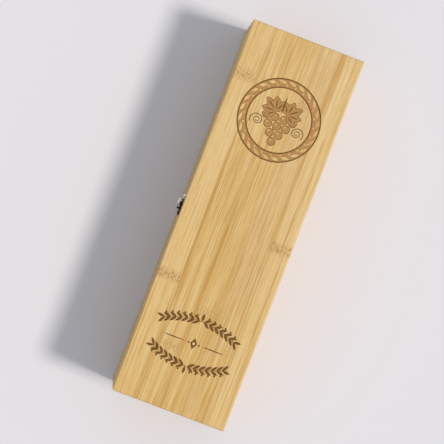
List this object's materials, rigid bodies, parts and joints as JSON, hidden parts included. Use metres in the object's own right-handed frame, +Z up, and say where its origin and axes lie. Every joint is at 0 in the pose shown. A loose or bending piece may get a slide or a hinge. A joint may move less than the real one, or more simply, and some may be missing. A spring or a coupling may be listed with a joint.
{
  "type": "wine box",
  "caption": "Bamboo gift box for one bottle of wine: finger-jointed base and lid, butt hinges, snap clasp, engraved vine ornament on the lid.",
  "frame": {"origin": "middle of the underside, on the surface the box lies on", "axes": "+X along the box towards the end that holds the bottle's neck, +Y from the clasp at the front to the hinges at the back, +Z up"},
  "size_m": [0.354, 0.113, 0.105],
  "materials": {
    "bamboo": "smooth laminated bamboo with a thin matt oil",
    "rest_wood": "sanded laminated bamboo, bare",
    "clasp_metal": "nickel-plated pressed steel, lightly worn",
    "clasp_nails": "polished domed nail heads",
    "hinge_steel": "plated sheet steel, satin"
  },
  "bodies": {
    "base": {"base_floor": "bamboo", "base_front": "bamboo", "base_back": "bamboo", "base_left_end": "bamboo", "base_right_end": "bamboo", "bottle_body_rest": "rest_wood", "bottle_neck_rest": "rest_wood", "clasp_catch_plate": "clasp_metal", "clasp_catch_nails": "clasp_nails", "left_hinge_base_leaf": "hinge_steel", "right_hinge_base_leaf": "hinge_steel", "left_hinge_pin": "hinge_steel", "right_hinge_pin": "hinge_steel", "hinge_base_screws": "hinge_steel"},
    "lid": {"lid_top": "bamboo", "lid_front": "bamboo", "lid_back": "bamboo", "lid_left_end": "bamboo", "lid_right_end": "bamboo", "left_hinge_lid_leaf": "hinge_steel", "right_hinge_lid_leaf": "hinge_steel", "hinge_lid_screws": "hinge_steel", "clasp_lid_plate": "clasp_metal", "clasp_lid_nails": "clasp_nails", "clasp_pin": "hinge_steel"},
    "flap": {"clasp_flap": "clasp_metal"}
  },
  "joints": [
    {"name": "lid_hinge", "type": "hinge", "parent": "base", "child": "lid", "pos_m": [0, 0.0537, 0.078], "axis": [-1, 0, 0], "range_deg": [0, 180]},
    {"name": "flap_hinge", "type": "hinge", "parent": "lid", "child": "flap", "pos_m": [0, -0.0547, 0.082], "axis": [-1, 0, 0], "range_deg": [0, 165]}
  ]
}
